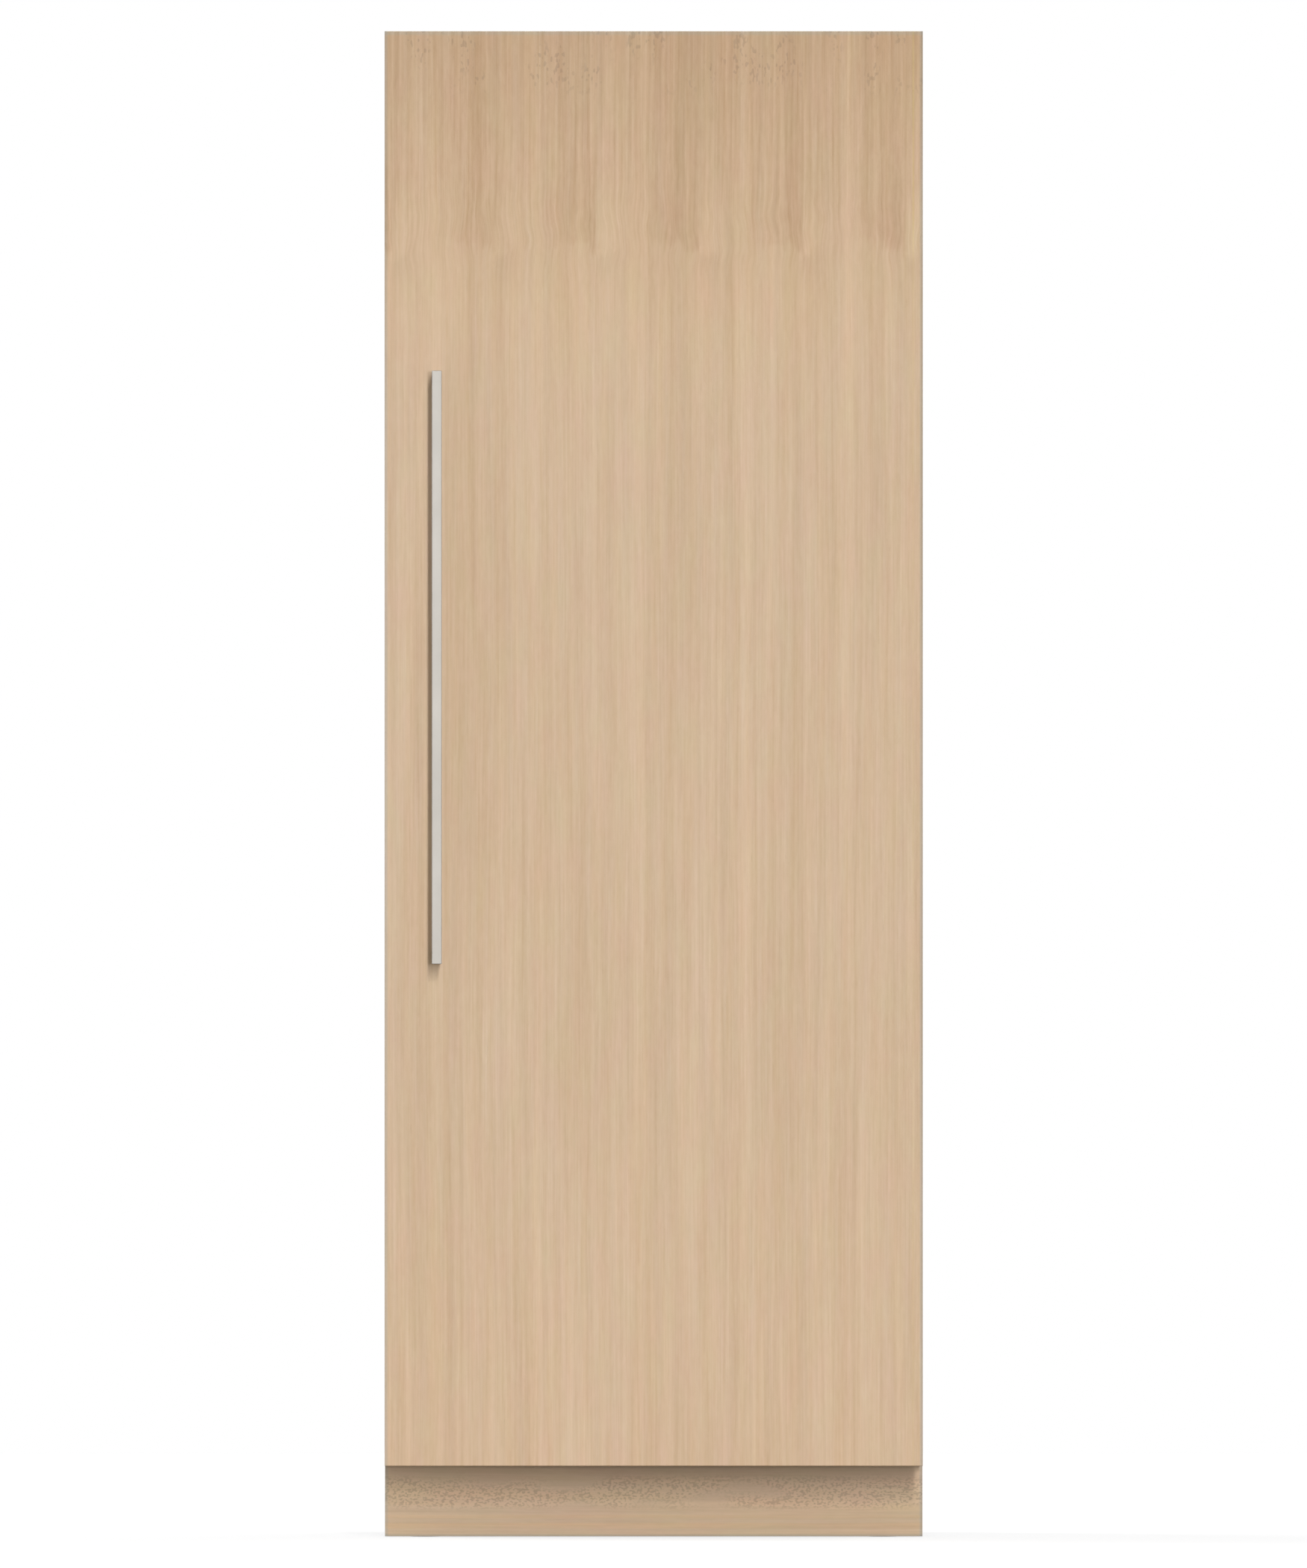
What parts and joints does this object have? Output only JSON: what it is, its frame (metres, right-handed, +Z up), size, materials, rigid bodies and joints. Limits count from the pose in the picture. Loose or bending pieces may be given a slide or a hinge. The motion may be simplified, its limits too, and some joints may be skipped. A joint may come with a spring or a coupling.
{
  "type": "built-in refrigerator",
  "caption": "Tall built-in column refrigerator with a full-height wood-veneered door hinged on the right, a slim square bar handle, a recessed wood plinth and a fitted interior.",
  "frame": {"origin": "on the floor, under the middle of the overall box", "axes": "+Z up, the door front faces -Y, +X is the right side seen from the front (the hinge side)"},
  "size_m": [0.762, 0.675, 2.134],
  "materials": {
    "wood_front": "light oak veneer, vertical grain, satin lacquer",
    "wood_plinth": "light oak veneer, horizontal grain, satin lacquer",
    "handle_steel": "fine brushed",
    "cabinet_steel": "grey powder coat",
    "galvanised_steel": "galvanised, spangled",
    "door_steel": "light grey coat",
    "frame_steel": "white gloss coat",
    "foam": "closed-cell foam",
    "liner_white": "satin white",
    "duct_aluminium": "brushed, anodised",
    "moulded_white": "satin white",
    "shelf_trim": "silver satin",
    "glass": "clear, tempered, bright edges",
    "clear_plastic": "clear",
    "light_opal": "opal",
    "button_plastic": "silver satin",
    "rubber_dark": "matte",
    "gasket_rubber": "soft grey",
    "compressor_black": "black enamel",
    "coil_aluminium": "mill finish",
    "copper_pipe": "drawn copper",
    "fan_plastic": "moulded",
    "pan_plastic": "moulded",
    "box_plastic": "moulded",
    "zinc_steel": "zinc plated",
    "pin_steel": "turned, zinc plated",
    "nylon": "white nylon",
    "wheel_plastic": "hard tread",
    "foot_steel": "zinc plated"
  },
  "bodies": {
    "cabinet": {"kick_panel": "wood_plinth", "outer_wrapper": "cabinet_steel", "back_panel": "galvanised_steel", "machine_cover": "galvanised_steel", "base_tray": "galvanised_steel", "front_frame": "frame_steel", "foam_insulation": "foam", "inner_liner": "liner_white", "air_duct_panel": "duct_aluminium", "shelf_rails": "moulded_white", "drawer_runners": "moulded_white", "control_panel": "moulded_white", "shelf_1_frame": "shelf_trim", "shelf_2_frame": "shelf_trim", "shelf_3_frame": "shelf_trim", "shelf_1_glass": "glass", "shelf_2_glass": "glass", "shelf_3_glass": "glass", "crisper_cover_glass": "glass", "light_strips": "light_opal", "compressor_mounts": "rubber_dark", "compressor": "compressor_black", "condenser_coil": "coil_aluminium", "evaporator_coil": "coil_aluminium", "refrigerant_pipes": "copper_pipe", "condenser_fan_shroud": "fan_plastic", "drain_pan": "pan_plastic", "control_box": "box_plastic", "power_inlet": "box_plastic", "fixing_brackets": "zinc_steel", "top_hinge_plate": "zinc_steel", "bottom_hinge_plate": "zinc_steel", "hinge_pins": "pin_steel", "cabinet_screws": "pin_steel", "rear_axle": "pin_steel"},
    "door": {"door_panel": "wood_front", "door_skin": "door_steel", "door_foam": "foam", "door_liner": "liner_white", "door_gasket": "gasket_rubber", "panel_brackets": "zinc_steel", "handle_bar": "handle_steel", "handle_posts": "handle_steel", "hinge_bushes": "nylon", "dairy_box": "clear_plastic", "door_bin_upper": "clear_plastic", "door_bin_middle": "clear_plastic", "door_bin_lower": "clear_plastic"},
    "dairy_lid": {"dairy_lid": "clear_plastic"},
    "crisper_drawer": {"crisper_drawer": "clear_plastic"},
    "humidity_slider": {"humidity_slider": "nylon"},
    "deli_drawer": {"deli_drawer": "clear_plastic"},
    "evaporator_fan": {"evaporator_fan": "fan_plastic"},
    "condenser_fan": {"condenser_fan": "fan_plastic"},
    "temp_down_button": {"temp_down_button": "button_plastic"},
    "temp_up_button": {"temp_up_button": "button_plastic"},
    "rear_left_wheel": {"rear_left_wheel": "wheel_plastic"},
    "rear_right_wheel": {"rear_right_wheel": "wheel_plastic"},
    "front_left_foot": {"front_left_foot": "foot_steel"},
    "front_right_foot": {"front_right_foot": "foot_steel"}
  },
  "joints": [
    {"name": "door_hinge", "type": "hinge", "parent": "cabinet", "child": "door", "pos_m": [0.358, -0.2505, 1.105], "axis": [0, 0, 1], "range_deg": [0, 115]},
    {"name": "dairy_lid_hinge", "type": "hinge", "parent": "door", "child": "dairy_lid", "pos_m": [0, -0.2075, 1.9], "axis": [1, 0, 0], "range_deg": [0, 90]},
    {"name": "crisper_slide", "type": "slide", "parent": "cabinet", "child": "crisper_drawer", "axis": [0, -1, 0], "range_m": [0, 0.3]},
    {"name": "humidity_slide", "type": "slide", "parent": "crisper_drawer", "child": "humidity_slider", "axis": [1, 0, 0], "range_m": [-0.032, 0.032]},
    {"name": "deli_slide", "type": "slide", "parent": "cabinet", "child": "deli_drawer", "axis": [0, -1, 0], "range_m": [0, 0.14]},
    {"name": "evaporator_fan_spin", "type": "hinge", "parent": "cabinet", "child": "evaporator_fan", "pos_m": [0, 0.2445, 0.76], "axis": [0, 1, 0], "continuous": true},
    {"name": "condenser_fan_spin", "type": "hinge", "parent": "cabinet", "child": "condenser_fan", "pos_m": [-0.191, 0.2275, 0.178], "axis": [1, 0, 0], "continuous": true},
    {"name": "temp_down_press", "type": "slide", "parent": "cabinet", "child": "temp_down_button", "axis": [0, 1, 0], "range_m": [0, 0.001], "stiffness_N_per_m": 300},
    {"name": "temp_up_press", "type": "slide", "parent": "cabinet", "child": "temp_up_button", "axis": [0, 1, 0], "range_m": [0, 0.001], "stiffness_N_per_m": 300},
    {"name": "rear_left_roll", "type": "hinge", "parent": "cabinet", "child": "rear_left_wheel", "pos_m": [-0.33, 0.2875, 0.025], "axis": [1, 0, 0], "continuous": true},
    {"name": "rear_right_roll", "type": "hinge", "parent": "cabinet", "child": "rear_right_wheel", "pos_m": [0.33, 0.2875, 0.025], "axis": [1, 0, 0], "continuous": true},
    {"name": "front_left_level", "type": "slide", "parent": "cabinet", "child": "front_left_foot", "axis": [0, 0, -1], "range_m": [0, 0.03]},
    {"name": "front_right_level", "type": "slide", "parent": "cabinet", "child": "front_right_foot", "axis": [0, 0, -1], "range_m": [0, 0.03]}
  ],
  "couplings": [
    {"joint": "crisper_slide", "follows": "door_hinge", "m_per_rad": 0.145},
    {"joint": "deli_slide", "follows": "door_hinge", "m_per_rad": 0.065}
  ]
}
